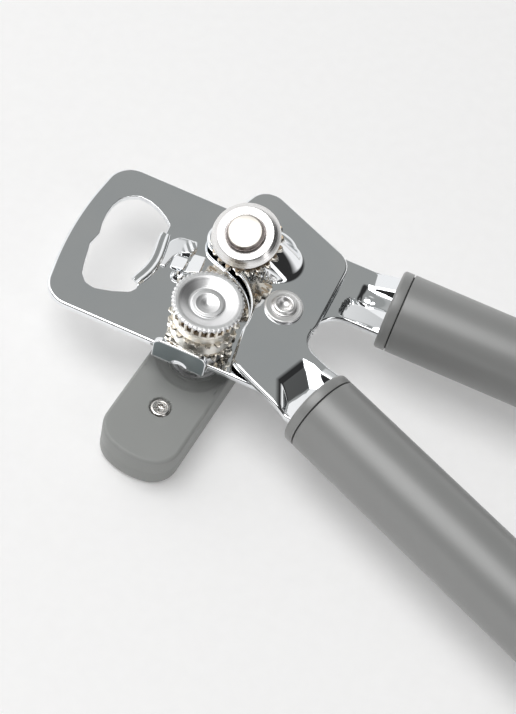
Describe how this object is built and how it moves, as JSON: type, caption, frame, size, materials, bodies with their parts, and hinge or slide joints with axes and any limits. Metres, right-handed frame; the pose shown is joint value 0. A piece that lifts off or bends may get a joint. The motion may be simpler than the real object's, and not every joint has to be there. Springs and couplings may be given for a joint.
{
  "type": "manual can opener",
  "caption": "Hand-held can opener with a geared feed wheel and leaning cutter, a turning knob, two round grips hinged at a rivet, and a bottle opening in its nose.",
  "frame": {"origin": "on the crank axis, at the knob's flat underside", "axes": "+X along the upper handle, from the nose to the grips; +Z along the crank axis, from the knob up to the feed wheel"},
  "size_m": [0.2139, 0.1209, 0.0459],
  "materials": {
    "plate_steel": "polished nickel-chrome plate",
    "bush_steel": "turned, plated",
    "rivet_steel": "rolled and plated",
    "stud_steel": "turned and polished",
    "gear_steel": "plated, satin",
    "hub_steel": "plated, satin, warm",
    "wheel_steel": "turned, satin",
    "blade_steel": "ground and polished",
    "pin_steel": "plain",
    "screw_steel": "plated",
    "grip_plastic": "fine satin texture",
    "core_plastic": "moulded",
    "knob_plastic": "fine satin texture"
  },
  "bodies": {
    "nose_arm": {"nose_plate": "plate_steel", "shaft_bushing": "bush_steel", "pivot_rivet": "rivet_steel", "pivot_washer": "rivet_steel", "pivot_spacer": "bush_steel", "upper_collar": "grip_plastic", "upper_core": "core_plastic", "upper_grip": "grip_plastic", "upper_end_cap": "grip_plastic", "upper_tang_pins": "pin_steel"},
    "cutter_arm": {"cutter_plate": "plate_steel", "cutter_stud": "stud_steel", "cutter_thrust_washer": "bush_steel", "lower_collar": "grip_plastic", "lower_core": "core_plastic", "lower_grip": "grip_plastic", "lower_end_cap": "grip_plastic", "lower_tang_pins": "pin_steel"},
    "crank": {"feed_shaft": "gear_steel", "crank_washer": "bush_steel", "feed_gear": "gear_steel", "feed_hub": "hub_steel", "feed_wheel": "wheel_steel", "knob_upper_shell": "knob_plastic", "knob_lower_shell": "knob_plastic", "knob_drive_bar": "pin_steel", "knob_screws": "screw_steel"},
    "cutter": {"cutter_gear": "gear_steel", "cutter_spacer": "bush_steel", "cutter_wheel": "blade_steel"}
  },
  "joints": [
    {"name": "handle_squeeze", "type": "hinge", "parent": "nose_arm", "child": "cutter_arm", "pos_m": [0.0187, 0.0193, 0.0277], "axis": [0, 0, 1], "range_deg": [0, 25.5]},
    {"name": "crank_spin", "type": "hinge", "parent": "nose_arm", "child": "crank", "pos_m": [0, 0, 0.0221], "axis": [0, 0, 1], "continuous": true},
    {"name": "cutter_spin", "type": "hinge", "parent": "cutter_arm", "child": "cutter", "pos_m": [0.00099, 0.02993, 0.0371], "axis": [-0.1198, -0.3204, 0.9397], "continuous": true}
  ],
  "couplings": [
    {"joint": "cutter_spin", "follows": "crank_spin", "ratio": -1}
  ]
}
